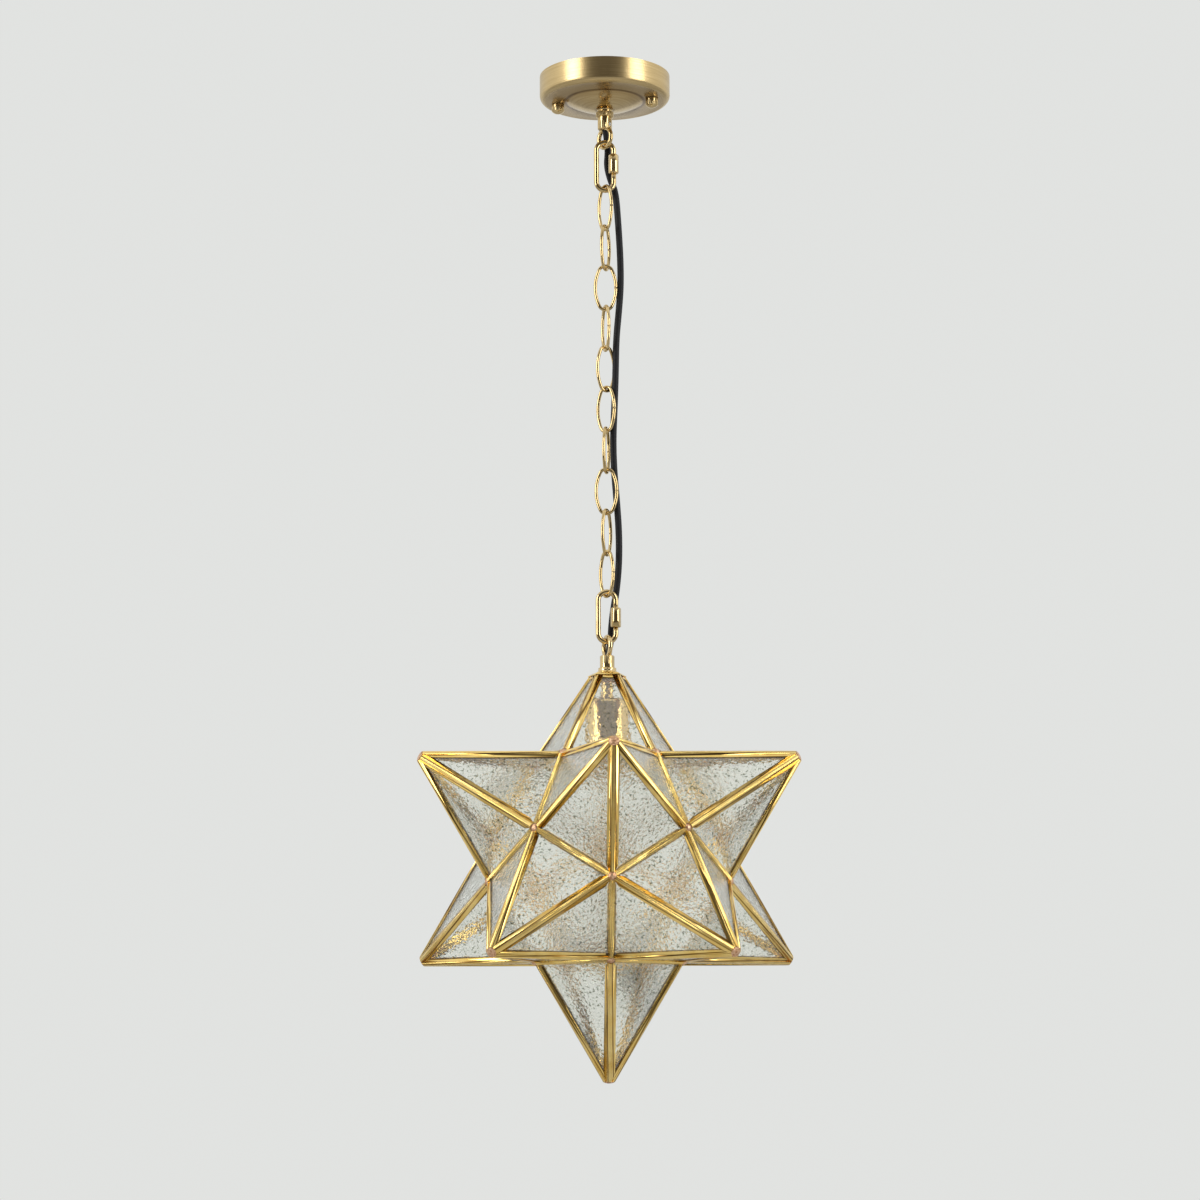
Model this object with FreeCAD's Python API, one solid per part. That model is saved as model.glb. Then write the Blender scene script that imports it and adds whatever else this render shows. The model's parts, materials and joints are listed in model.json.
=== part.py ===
import FreeCAD, Part
import math
import os

V = FreeCAD.Vector

# ---------------------------------------------------------------- sizes (mm)
# Origin: centre of the canopy's rim, in the plane of the ceiling. +Z is up, the front is -Y.

# clearances
FIT = 0.05              # parts assembled without play
RUN = 0.08              # turning and sliding fits, on the radius
GAP = 0.3               # between pieces that move against each other

# canopy
CANOPY_R = 62.5
CANOPY_WALL = 1.0
CANOPY_SIDE = 24.1      # rim to flat ring
CANOPY_CORNER = 5.5
CANOPY_DOME_R = 37.5
CANOPY_DOME = 8.9       # rise of the dome below the flat ring
NECK_R = 8.2
NUT_CIRCLE = 46.0       # radius of the two cap nuts
NUT_YAW = -11.4         # degrees, line of the cap nuts
CAP_NUT_R = 6.0
CAP_NUT_H = 9.0
STUD_R = 2.0

# ceiling crossbar
BAR_L = 108.0
BAR_W = 16.0
BAR_T = 2.0
BOX_PCD = 69.85
BOX_HOLE_R = 2.5

# threaded nipples and the cord
NIPPLE_R = 5.0
NIPPLE_BORE = 3.4
CORD_R = 3.15

# loops
COLLAR_R = 8.5
STEM_R = 6.87
RING_WIRE = 2.15
RING_R = 9.35
TOP_FACE_Z = -52.5
TOP_RING_Z = -60.5
TOP_RING_YAW = -53.0
LOW_FACE_DROP = 8.4      # ring's centre to the lower barrel's face
LOW_BARREL = 11.6       # height of the lower barrel
LOW_COLLAR = 3.8
LOW_RING_YAW = -71.0

# quick links
QL_WIRE = 2.4
QL_PITCH = 42.4
QL_HALF = 8.3           # half the spacing of the legs
SLEEVE_AF = 8.6
SLEEVE_L = 18.6
QL_OPENING = 5.4
QL_YAW = 8.0

# chain
LINK_WIRE = 1.6
LINK_PITCH = 39.43
LINK_HALF = 9.8         # half the width, wire centre to wire centre
LINK_END = 6.6          # radius of the link's ends
LINK_SEAM = 0.3
LINK_YAWS = [-53.0, 68.0, 0.0, -72.0, 36.0, -38.0, 76.0, -8.0, 67.0, -53.0]

# star
STAR_YAW = 1.64
STAR_R = 210.0          # virtual apex of the panes' outer planes
TIP_CUT = 7.3           # the cames' tips stop short of the apex
TOP_DROP = 15.2         # apex of the cut-off top point's pane planes, below a whole point's
CAP_DROP = 23.8         # cap plate below that apex
CAP_RISE = 4.2          # height of the cap plate
PANE_T = 3.0
PANE_PLAY = 0.1
LEAF_T = 0.8
RIDGE_FLANGE = 5.75
RIDGE_INNER = 5.6
RIDGE_CROWN = 0.9
BEAD_W = 2.3            # edge of the ridge came's raised bead, from the ridge line
BEAD_STEP = 0.4
VALLEY_FLANGE = 3.3
VALLEY_INNER = 3.0
VALLEY_CROWN = 3.1
HEART = 0.9             # half the came's web
RIDGE_SET = 3.3         # pane edge from the ridge line
VALLEY_SET = 1.45       # pane edge from the valley line
PANE_TIP = 5.7          # panes stop short of the cames' tips
SOLDER_R = 3.8
SOLDER_DEEP = 6.2       # plug below the inner corner of the panes' planes
SOLDER_RIM = 1.4
SOLDER_TOP = 3.0
TIP_SOLDER_R = 2.3
TIP_HEAD_R = 4.9
TIP_DEEP = 5.2
PARTING = 0.25          # each side of the door's parting planes

# lampholder
CUP_R = 20.9
CUP_DROP = 26.5         # cup's top below the star's cap
CUP_L = 58.0
SHELL_R = 13.3
SHELL_L = 22.1
INSULATOR_TOP = 14.0    # below the cup's top
INSULATOR_FLOOR = 10.0
CONTACT_H = 2.4
NIPPLE_IN = 7.4         # nipple into the lower barrel

# door hardware
KNUCKLE_R = 1.9
KNUCKLE_L = 9.4
PIN_R = 0.9
HINGE_V = 3.2           # axis above the valley line
POST_R = 0.9
POST_U = 1.6            # turn button's post beside the valley line

# heights that follow from the loops, links and wires
C0 = TOP_RING_Z - RING_R + RING_WIRE
C1 = C0 - QL_PITCH
C11 = C1 - len(LINK_YAWS) * LINK_PITCH
C_END = C11 - QL_PITCH
LOW_RING_Z = C_END + GAP + RING_WIRE - RING_R
LOW_FACE_Z = LOW_RING_Z - LOW_FACE_DROP
LOW_BARREL_Z = LOW_FACE_Z - LOW_BARREL
COLLAR_Z = LOW_BARREL_Z - LOW_COLLAR
TIP_R = STAR_R - TIP_CUT
TOP_APEX = STAR_R - TOP_DROP
CAP_Z = TOP_APEX - CAP_DROP
STAR_Z = COLLAR_Z - CAP_RISE - CAP_Z
PANE_TOP = TIP_R - PANE_TIP
CUP_TOP = COLLAR_Z - CUP_DROP
CUP_MOUTH = CUP_TOP - CUP_L
FLOOR_Z = CUP_TOP - INSULATOR_TOP - INSULATOR_FLOOR
SHELL_Z = FLOOR_Z - CONTACT_H
NIPPLE_TOP = LOW_FACE_Z - NIPPLE_IN

# star proportions, as shares of the apex radius
PHI = (1.0 + math.sqrt(5.0)) / 2.0
HI = 1.0 / math.sqrt(5.0)
BASE_R = 2.0 * HI / (PHI * PHI)
MID_Z = HI * (2.0 - PHI) / PHI
MID_R = BASE_R * PHI


# ---------------------------------------------------------------- helpers
def disc(r, z0, z1, x=0.0, y=0.0):
    return Part.makeCylinder(r, z1 - z0, V(x, y, z0))


def tube(r_out, r_in, z0, z1, x=0.0, y=0.0):
    return disc(r_out, z0, z1, x, y).cut(disc(r_in, z0 - 1.0, z1 + 1.0, x, y))


def hexagon(across_flats, z0, z1, x=0.0, y=0.0):
    r = across_flats / 2.0 / math.cos(math.pi / 6.0)
    pts = [V(x + r * math.cos(math.pi * k / 3.0), y + r * math.sin(math.pi * k / 3.0), z0)
           for k in range(7)]
    return Part.Face(Part.makePolygon(pts)).extrude(V(0, 0, z1 - z0))


def lathe(items):
    """Turn a closed (r, z) outline about Z. A pair of points is an arc: its middle, its end."""
    edges = []
    here = V(items[0][0], 0, items[0][1])
    for item in items[1:] + items[:1]:
        if isinstance(item[0], tuple):
            mid = V(item[0][0], 0, item[0][1])
            end = V(item[1][0], 0, item[1][1])
            edges.append(Part.Arc(here, mid, end).toShape())
        else:
            end = V(item[0], 0, item[1])
            if end.distanceToPoint(here) > 1e-6:
                edges.append(Part.LineSegment(here, end).toShape())
        here = end
    return Part.Face(Part.Wire(edges)).revolve(V(0, 0, 0), V(0, 0, 1), 360.0)


def dome_mid(r, rise, pole):
    """Middle of a round dome's arc, from its edge at radius r to its pole on the axis."""
    ball = (r * r + rise * rise) / (2.0 * abs(rise))
    drop = ball - math.sqrt(ball * ball - r * r / 4.0)
    return r / 2.0, pole + math.copysign(drop, rise)


def turned(shape, yaw, z=0.0):
    out = shape.copy()
    out.rotate(V(0, 0, z), V(0, 0, 1), yaw)
    return out


def fuse(shapes):
    return shapes[0].multiFuse(shapes[1:]).removeSplitter()


def one_solid(shape):
    solids = sorted(shape.Solids, key=lambda s: -s.Volume)
    return solids[0]


def unit(v):
    w = V(v)
    w.normalize()
    return w


# ---------------------------------------------------------------- ceiling end
def on_nut_line(r):
    a = math.radians(NUT_YAW)
    return r * math.cos(a), r * math.sin(a)


def mounting_bracket():
    bar = Part.makeBox(BAR_L, BAR_W, BAR_T, V(-BAR_L / 2.0, -BAR_W / 2.0, -BAR_T))
    ends = [e for e in bar.Edges if abs(e.Vertexes[0].X - e.Vertexes[1].X) < 1e-6
            and abs(e.Vertexes[0].Y - e.Vertexes[1].Y) < 1e-6]
    bar = bar.makeFillet(5.0, ends)
    bar = bar.cut(disc(7.0, -5.0, 1.0))
    for side in (-1.0, 1.0):
        bar = bar.cut(disc(STUD_R + FIT, -5.0, 1.0, side * NUT_CIRCLE))
        bar = bar.cut(disc(BOX_HOLE_R, -5.0, 1.0, side * BOX_PCD / 2.0))
    bar = bar.cut(disc(2.0 + FIT, -5.0, 1.0, 14.0))
    return turned(bar, NUT_YAW)


def bracket_studs():
    out = []
    for side in (-1.0, 1.0):
        x, y = on_nut_line(side * NUT_CIRCLE)
        out.append(disc(STUD_R, -CANOPY_SIDE - 6.4, 0.0, x, y))
    return Part.makeCompound(out)


def stud_nuts():
    out = []
    for side in (-1.0, 1.0):
        x, y = on_nut_line(side * NUT_CIRCLE)
        nut = hexagon(7.0, -BAR_T - 3.2, -BAR_T, x, y)
        out.append(nut.cut(disc(STUD_R + FIT, -9.0, 1.0, x, y)))
    return Part.makeCompound(out)


def earth_screw():
    x, y = on_nut_line(14.0)
    return fuse([disc(2.0, -BAR_T - 0.5, -0.1, x, y), hexagon(8.0, -BAR_T - 2.6, -BAR_T, x, y)])


def canopy_pan():
    w = CANOPY_WALL
    flat = -CANOPY_SIDE
    low = flat - CANOPY_DOME
    c = CANOPY_CORNER
    s = math.sqrt(0.5)
    ri = c - w
    mid_r = (CANOPY_DOME_R + NECK_R) / 2.0
    sag = CANOPY_DOME * 0.5 + 1.5
    pan = lathe([
        (CANOPY_R, 0.0),
        (CANOPY_R, flat + c),
        ((CANOPY_R - c + c * s, flat + c - c * s), (CANOPY_R - c, flat)),
        (CANOPY_DOME_R, flat),
        ((mid_r, flat - sag), (NECK_R, low)),
        (NIPPLE_R + FIT, low),
        (NIPPLE_R + FIT, low + w),
        (NECK_R - 0.5, low + w),
        ((mid_r - 0.4, flat - sag + w), (CANOPY_DOME_R - 0.4, flat + w)),
        (CANOPY_R - c, flat + w),
        ((CANOPY_R - c + ri * s, flat + c - ri * s), (CANOPY_R - w, flat + c)),
        (CANOPY_R - w, 0.0)])
    for side in (-1.0, 1.0):
        x, y = on_nut_line(side * NUT_CIRCLE)
        pan = pan.cut(disc(STUD_R + 0.3, flat - 5.0, flat + 5.0, x, y))
    return pan


def cap_nut(side):
    x, y = on_nut_line(side * NUT_CIRCLE)
    top = -CANOPY_SIDE - GAP
    low = top - CAP_NUT_H
    r = CAP_NUT_R
    bore = STUD_R + RUN
    body = lathe([
        (bore, top),
        (r, top),
        (r, low + 2.6),
        (dome_mid(r, 2.6, low), (0.0, low)),
        (0.0, low + 1.6),
        (bore, low + 2.0)])
    body.translate(V(x, y, 0))
    return body


def canopy_nipple():
    return tube(NIPPLE_R, NIPPLE_BORE, -44.4, -25.0)


def nipple_washer(z_top, thick, r):
    return tube(r, NIPPLE_R + FIT, z_top - thick, z_top)


def lock_nut(z_top, thick):
    return hexagon(14.0, z_top - thick, z_top).cut(disc(NIPPLE_R + FIT, z_top - 9.0, z_top + 1.0))


def canopy_collar():
    low = -CANOPY_SIDE - CANOPY_DOME
    b = NIPPLE_R + FIT
    return lathe([
        (b, low), (7.4, low), (6.6, low - 1.0), (6.6, -35.1), (COLLAR_R, -35.6), (COLLAR_R, -39.6),
        (COLLAR_R - 0.6, -40.2), (b, -40.2)])


def ring(z, yaw):
    a = math.radians(yaw)
    return Part.makeTorus(RING_R, RING_WIRE, V(0, 0, z), V(-math.sin(a), math.cos(a), 0))


def grub_hole(r):
    a = math.radians(-47.0)
    return Part.makeCylinder(r, 12.0, V(0, 0, -48.2), V(math.cos(a), math.sin(a), 0))


def upper_hanger():
    body = lathe([
        (NIPPLE_R + FIT, -40.2), (STEM_R, -40.2), (STEM_R, TOP_FACE_Z + 0.8),
        (STEM_R - 0.8, TOP_FACE_Z), (0.0, TOP_FACE_Z), (0.0, -49.6), (NIPPLE_R + FIT, -49.6)])
    body = fuse([body, ring(TOP_RING_Z, TOP_RING_YAW).cut(disc(NIPPLE_R + FIT, -49.6, -40.0))])
    body = body.cut(round_tube(cord_points()[:5], CORD_R + 0.45))
    body = body.cut(grub_hole(1.6))
    return one_solid(body)


def grub_screw():
    a = math.radians(-47.0)
    start = V(0, 0, -48.2) + V(math.cos(a), math.sin(a), 0) * 5.2
    rod = Part.makeCylinder(1.55, 1.9, start, V(math.cos(a), math.sin(a), 0))
    hole = Part.makeCylinder(0.75, 1.0, start + V(math.cos(a), math.sin(a), 0) * 1.1,
                             V(math.cos(a), math.sin(a), 0))
    return rod.cut(hole)


def lower_hanger():
    b = NIPPLE_R + FIT
    body = lathe([
        (0.0, LOW_FACE_Z), (STEM_R - 0.8, LOW_FACE_Z), (STEM_R, LOW_FACE_Z - 0.8),
        (STEM_R, LOW_BARREL_Z), (b, LOW_BARREL_Z), (b, LOW_FACE_Z - 3.1), (0.0, LOW_FACE_Z - 3.1)])
    body = fuse([body, ring(LOW_RING_Z, LOW_RING_YAW).cut(disc(b, COLLAR_Z, LOW_FACE_Z - 3.1))])
    body = body.cut(round_tube(cord_points()[-5:], CORD_R + 0.45))
    return one_solid(body)


def lower_collar():
    b = NIPPLE_R + FIT
    return lathe([
        (b, LOW_BARREL_Z), (COLLAR_R - 0.5, LOW_BARREL_Z), (COLLAR_R, LOW_BARREL_Z - 0.5),
        (COLLAR_R, COLLAR_Z + 1.1), (COLLAR_R + 0.9, COLLAR_Z), (b, COLLAR_Z)])


# ---------------------------------------------------------------- chain
def oval(wire, half, z_top, z_low, yaw, gap0, gap1):
    """Bent wire between two inner heights; its +X leg is open from gap0 to gap1."""
    top = z_top + wire - half
    low = z_low - wire + half
    edges = [
        Part.LineSegment(V(half, 0, gap1), V(half, 0, top)).toShape(),
        Part.Arc(V(half, 0, top), V(0, 0, top + half), V(-half, 0, top)).toShape(),
        Part.LineSegment(V(-half, 0, top), V(-half, 0, low)).toShape(),
        Part.Arc(V(-half, 0, low), V(0, 0, low - half), V(half, 0, low)).toShape(),
        Part.LineSegment(V(half, 0, low), V(half, 0, gap0)).toShape()]
    ring_wire = Part.Wire(Part.makeCircle(wire, V(half, 0, gap1), V(0, 0, 1)))
    body = Part.Wire(edges).makePipeShell([ring_wire], True, False)
    return turned(body, yaw)


def chain_link(k):
    """Oval of two end arcs and two flat side arcs, with the butt seam in the middle of one side."""
    z_top = C1 - k * LINK_PITCH + GAP
    z_low = C1 - (k + 1) * LINK_PITCH
    mid = (z_top + z_low) / 2.0
    tall = (z_top - z_low) / 2.0 + LINK_WIRE
    a = LINK_HALF
    r = LINK_END
    side = (a * a + (tall - r) ** 2 - r * r) / (2.0 * (a - r))
    bend = math.atan2(tall - r, side - a)
    seam = LINK_SEAM / 2.0 / side

    def on_side(angle, sign):
        x = sign * (side * math.cos(angle) - (side - a))
        return V(x, 0, mid + side * math.sin(angle))

    edges = [
        Part.Arc(on_side(seam, 1.0), on_side(bend / 2.0, 1.0), on_side(bend, 1.0)).toShape(),
        Part.Arc(on_side(bend, 1.0), V(0, 0, mid + tall), on_side(bend, -1.0)).toShape(),
        Part.Arc(on_side(bend, -1.0), V(-a, 0, mid), on_side(-bend, -1.0)).toShape(),
        Part.Arc(on_side(-bend, -1.0), V(0, 0, mid - tall), on_side(-bend, 1.0)).toShape(),
        Part.Arc(on_side(-bend, 1.0), on_side(-bend / 2.0, 1.0), on_side(-seam, 1.0)).toShape()]
    start = V(-math.sin(seam), 0, math.cos(seam))
    section = Part.Wire(Part.makeCircle(LINK_WIRE, on_side(seam, 1.0), start))
    body = Part.Wire(edges).makePipeShell([section], True, False)
    return turned(body, LINK_YAWS[k])


def quick_link(z_contact, above):
    """The leg's opening lies above or below the middle, and the sleeve covers it."""
    z_top = z_contact + GAP
    z_low = z_contact - QL_PITCH
    mid = (z_top + z_low) / 2.0
    gap0 = mid + 3.4
    if not above:
        gap0 = mid - 3.2 - QL_OPENING
    return oval(QL_WIRE, QL_HALF, z_top, z_low, QL_YAW, gap0, gap0 + QL_OPENING)


def sleeve(z_mid):
    z0 = z_mid - SLEEVE_L / 2.0
    z1 = z_mid + SLEEVE_L / 2.0
    corner = SLEEVE_AF / 2.0 / math.cos(math.pi / 6.0)
    blank = lathe([
        (0.0, z0), (SLEEVE_AF / 2.0 - 0.3, z0), (corner, z0 + 0.9), (corner, z1 - 0.9),
        (SLEEVE_AF / 2.0 - 0.3, z1), (0.0, z1)])
    nut = hexagon(SLEEVE_AF, z0, z1).common(blank)
    nut = nut.cut(disc(QL_WIRE + RUN, z0 - 1.0, z1 + 1.0))
    nut.translate(V(QL_HALF, 0, 0))
    return turned(nut, QL_YAW)


# ---------------------------------------------------------------- cord
def cord_points():
    """The cord's route from the upper nipple to the lower one."""
    return [V(*p) for p in (
        (0.0, 0.0, -44.4), (0.5, 1.0, -50.5), (1.8, 4.7, -59.0), (3.0, 8.4, -72.0),
        (3.2, 9.1, -85.2), (5.1, 9.0, -100.1), (9.3, 6.8, -112.0), (12.3, 5.0, -142.5),
        (14.2, 3.6, -177.2), (14.5, 3.3, -204.8), (12.7, 2.8, -229.0), (9.8, 0.9, -259.0),
        (9.2, -0.5, -290.0), (8.1, 0.3, -321.0), (6.4, 1.7, -355.0), (7.2, 4.2, -384.0),
        (9.5, 4.8, -412.0), (11.6, 3.4, -443.0), (11.6, 3.0, -473.0), (9.6, 6.5, -499.0),
        (5.8, 10.2, -518.0), (3.9, 9.4, -535.0), (3.5, 7.5, -547.0), (1.6, 3.6, -557.5),
        (0.4, 0.9, -564.5), (0.0, 0.0, -569.5))]


def arc_path(pts, report=False):
    """Straight runs joined by tangent arcs."""
    edges = []
    here = pts[0]
    smallest = 1e9
    for a, b, c in zip(pts, pts[1:], pts[2:]):
        u1 = unit(b - a)
        u2 = unit(c - b)
        half = u1.getAngle(u2) / 2.0
        d = 0.45 * min((b - a).Length, (c - b).Length)
        radius = d / math.tan(half)
        smallest = min(smallest, radius)
        start = b - u1 * d
        end = b + u2 * d
        mid = b + unit(u2 - u1) * (radius / math.cos(half) - radius)
        edges.append(Part.LineSegment(here, start).toShape())
        edges.append(Part.Arc(start, mid, end).toShape())
        here = end
        if report:
            print("bend at z %.0f: radius %.0f mm" % (b.z, radius))
    edges.append(Part.LineSegment(here, pts[-1]).toShape())
    return Part.Wire(edges), smallest


def round_tube(pts, r, report=False):
    path, smallest = arc_path(pts, report)
    section = Part.Wire(Part.makeCircle(r, pts[0], unit(pts[1] - pts[0])))
    body = path.makePipeShell([section], True, False)
    if report:
        share = body.Volume / (math.pi * r * r * path.Length)
        print("cord: %.0f mm long, smallest bend %.0f mm, volume share %.4f"
              % (path.Length, smallest, share))
    return body


def supply_cord():
    """The cord between its two tails, which meet it on level faces."""
    pts = cord_points()
    ends = [pts[0] + unit(pts[0] - pts[1]) * 1.2, pts[-1] + unit(pts[-1] - pts[-2]) * 1.2]
    body = round_tube([ends[0]] + pts[1:-1] + [ends[1]], CORD_R, True)
    body = keep_side(body, pts[0], V(0, 0, -1))
    return keep_side(body, pts[-1], V(0, 0, 1))


# ---------------------------------------------------------------- lampholder
def socket_neck():
    return tube(5.9, NIPPLE_R + FIT, CUP_TOP, CUP_TOP + 17.0)


def socket_cup():
    r = CUP_R
    w = 0.8
    s = math.sqrt(0.5)
    c = 5.0
    z = CUP_TOP
    m = CUP_MOUTH
    return lathe([
        (NIPPLE_R + FIT, z), (r - c, z), ((r - c + c * s, z - c + c * s), (r, z - c)),
        (r, m + 1.2), ((r - 0.35, m + 0.35), (r - 1.2, m)), (r - w - 0.8, m), (r - w - 0.8, m + 0.8),
        (r - w, m + 1.6), (r - w, z - c),
        ((r - c + (c - w) * s, z - c + (c - w) * s), (r - c, z - w)), (NIPPLE_R + FIT, z - w)])


def socket_insulator():
    """Porcelain body with a stepped floor, over the centre contact and the shell's shoulder."""
    w = CUP_R - 0.8 - FIT
    s = SHELL_R + 0.6 + FIT
    z = CUP_TOP - INSULATOR_TOP
    m = CUP_MOUTH + 5.0
    return lathe([
        (3.1, z), (w - 1.0, z), (w, z - 1.0), (w, z - 6.0), (w - 2.85, z - 7.5), (w - 2.85, m + 1.0),
        (w - 3.65, m), (s, m), (s, SHELL_Z), (8.0, SHELL_Z), (8.0, FLOOR_Z), (3.1, FLOOR_Z)])


def screw_shell():
    """Plain bore in place of the thread, with an inward shoulder at its top."""
    z = SHELL_Z - 0.5
    return lathe([
        (SHELL_R, z - SHELL_L), (SHELL_R + 0.6, z - SHELL_L), (SHELL_R + 0.6, SHELL_Z),
        (8.4, SHELL_Z), (8.4, z), (SHELL_R, z)])


def centre_contact():
    return fuse([disc(3.05, FLOOR_Z - 2.0, FLOOR_Z + 8.0), disc(4.6, FLOOR_Z - 1.4, FLOOR_Z)])


# ---------------------------------------------------------------- star geometry
def azimuth(az):
    """Unit direction in plan; 0 is the front, positive towards +X."""
    a = math.radians(az)
    return V(math.sin(a), -math.cos(a), 0)


def apex_direction(level, az):
    z = HI if level == "upper" else -HI
    return azimuth(az) * (2.0 * HI) + V(0, 0, z)


def points_of_star():
    """Name, axis direction and direction of one inner corner, for the 11 whole points."""
    out = []
    for az in (0.0, 72.0, 144.0, -144.0, -72.0):
        out.append(("upper", az, apex_direction("upper", az), azimuth(az + 36.0) * BASE_R + V(0, 0, HI)))
    for az in (36.0, 108.0, -108.0, -36.0, 180.0):
        name = "door" if az == 180.0 else "lower"
        out.append((name, az, apex_direction("lower", az), azimuth(az + 36.0) * BASE_R - V(0, 0, HI)))
    out.append(("lower", 0.0, V(0, 0, -1), azimuth(0.0) * BASE_R - V(0, 0, HI)))
    return out


def placed(shape, axis, corner, turn=0.0):
    """Move a master made about +Z, with an inner corner over +X, onto a point of the star."""
    e3 = unit(axis)
    e1 = unit(corner - e3 * corner.dot(e3))
    e2 = e3.cross(e1)
    m = FreeCAD.Matrix(e1.x, e2.x, e3.x, 0, e1.y, e2.y, e3.y, 0, e1.z, e2.z, e3.z, 0, 0, 0, 0, 1)
    out = shape.copy()
    if turn:
        out.rotate(V(0, 0, 0), V(0, 0, 1), turn)
    out.transformShape(m, False)
    return out


def in_place(shape):
    """From the star's own axes to the lamp's."""
    out = shape.copy()
    out.rotate(V(0, 0, 0), V(0, 0, 1), STAR_YAW)
    out.translate(V(0, 0, STAR_Z))
    return out


def master_corner(k):
    """Inner corner k of the master point, on the panes' outer planes."""
    a = math.radians(72.0 * k)
    return V(BASE_R * math.cos(a), BASE_R * math.sin(a), HI) * STAR_R


def neighbour_apex(k):
    """Apex of the point across the master's base edge from corner k to the next."""
    a = math.radians(72.0 * k + 36.0)
    return V(2.0 * HI * math.cos(a), 2.0 * HI * math.sin(a), HI) * STAR_R


def face_normal(a, b, c):
    n = unit((b - a).cross(c - a))
    if n.dot(a + b + c) < 0:
        n = n * -1.0
    return n


def came(p, q, n1, n2, valley):
    """Lead-and-glass came along p to q, between faces with outward normals n1 and n2."""
    e = unit(q - p)
    v = unit(n1 + n2)
    u = e.cross(v)
    if u.dot(n1) > 0 and valley:
        u = u * -1.0
    if u.dot(n1) < 0 and not valley:
        u = u * -1.0
    ca = abs(n1.dot(u))
    sa = n1.dot(v)
    slope = ca if valley else -ca
    nu = -ca if valley else ca
    flange = VALLEY_FLANGE if valley else RIDGE_FLANGE
    inner = VALLEY_INNER if valley else RIDGE_INNER
    crown = VALLEY_CROWN if valley else RIDGE_CROWN
    back = -(PANE_T + 2.0 * PANE_PLAY)

    def at(w, c, side):
        return p + u * (side * (w * sa + c * nu)) + v * (w * slope + c * sa)

    def heart(c, side):
        w = (HEART - c * nu) / sa
        return p + u * (side * HEART) + v * (w * slope + c * sa)

    lip1 = at(flange, LEAF_T, 1.0)
    lip2 = at(flange, LEAF_T, -1.0)
    chain = [lip2, at(flange, 0.0, -1.0), heart(0.0, -1.0), heart(back, -1.0), at(inner, back, -1.0),
             at(inner, back - LEAF_T, -1.0), p + v * ((back - LEAF_T) / sa), at(inner, back - LEAF_T, 1.0),
             at(inner, back, 1.0), heart(back, 1.0), heart(0.0, 1.0), at(flange, 0.0, 1.0), lip1]
    if valley:
        edges = [Part.Arc(lip1, p + v * crown, lip2).toShape()]
    else:
        foot1 = at(BEAD_W, LEAF_T, 1.0)
        foot2 = at(BEAD_W, LEAF_T, -1.0)
        edge1 = at(BEAD_W, LEAF_T + BEAD_STEP, 1.0)
        edge2 = at(BEAD_W, LEAF_T + BEAD_STEP, -1.0)
        edges = [Part.LineSegment(lip1, foot1).toShape(), Part.LineSegment(foot1, edge1).toShape(),
                 Part.Arc(edge1, p + v * crown, edge2).toShape(),
                 Part.LineSegment(edge2, foot2).toShape(), Part.LineSegment(foot2, lip2).toShape()]
    for a, b in zip(chain, chain[1:]):
        edges.append(Part.LineSegment(a, b).toShape())
    return Part.Face(Part.Wire(edges)).extrude(q - p)


def keep_side(shape, origin, normal, size=500.0):
    """Keep what lies on the side of a plane that the normal points to."""
    n = unit(normal)
    cutter = Part.makeBox(size, size, size)
    cutter.translate(V(-size / 2.0, -size / 2.0, -size))
    rot = FreeCAD.Rotation(V(0, 0, 1), n)
    cutter.Placement = FreeCAD.Placement(origin, rot).multiply(cutter.Placement)
    return shape.cut(cutter)


def mitre(shape, corner, along, others, inside, clear=0.04):
    """Cut a came at a corner by the planes through the radial axis and each pane corner's bisector."""
    r = unit(corner)
    for other in others:
        b = unit(unit(along) + unit(other))
        n = r.cross(b)
        if n.dot(inside - corner) < 0:
            n = n * -1.0
        shape = keep_side(shape, corner + unit(n) * clear, n)
    return shape


def plug_hole(corner, r):
    n = unit(corner)
    return Part.makeCylinder(r, 60.0, corner - n * 28.0, n)


def ridge_master(apex_z, top_z):
    """Ridge came from corner 0 to the apex of the master point."""
    w0 = master_corner(0)
    w1 = master_corner(1)
    w4 = master_corner(-1)
    apex = V(0, 0, apex_z)
    n1 = face_normal(apex, w0, w1)
    n2 = face_normal(apex, w4, w0)
    e = unit(apex - w0)
    body = came(w0 - e * 12.0, apex, n1, n2, False)
    mid = (w0 + apex) * 0.5
    body = mitre(body, w0, apex - w0, [w1 - w0, w4 - w0], mid)
    for k in (1.0, -1.0):
        a = math.radians(36.0 * k)
        side = V(-math.sin(a), math.cos(a), 0) * -k
        body = keep_side(body, side * 0.04, side)
    body = keep_side(body, V(0, 0, top_z), V(0, 0, -1))
    body = body.cut(plug_hole(w0, SOLDER_R + FIT))
    if apex_z == STAR_R:
        body = body.cut(disc(TIP_SOLDER_R + FIT, TIP_R - 2.0 * TIP_DEEP, STAR_R + 5.0))
    return one_solid(body)


def valley_master(apex_z):
    """Valley came along the master point's base edge from corner 0 to corner 1."""
    w0 = master_corner(0)
    w1 = master_corner(1)
    apex = V(0, 0, apex_z)
    other = neighbour_apex(0)
    n1 = face_normal(apex, w0, w1)
    n2 = face_normal(other, w0, w1)
    e = unit(w1 - w0)
    mid = (w0 + w1) * 0.5
    body = came(w0 - e * 12.0, w1 + e * 12.0, n1, n2, True)
    body = mitre(body, w0, w1 - w0, [apex - w0, other - w0], mid)
    body = mitre(body, w1, w0 - w1, [apex - w1, other - w1], mid)
    body = body.cut(plug_hole(w0, SOLDER_R + FIT))
    body = body.cut(plug_hole(w1, SOLDER_R + FIT))
    return one_solid(body)


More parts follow.
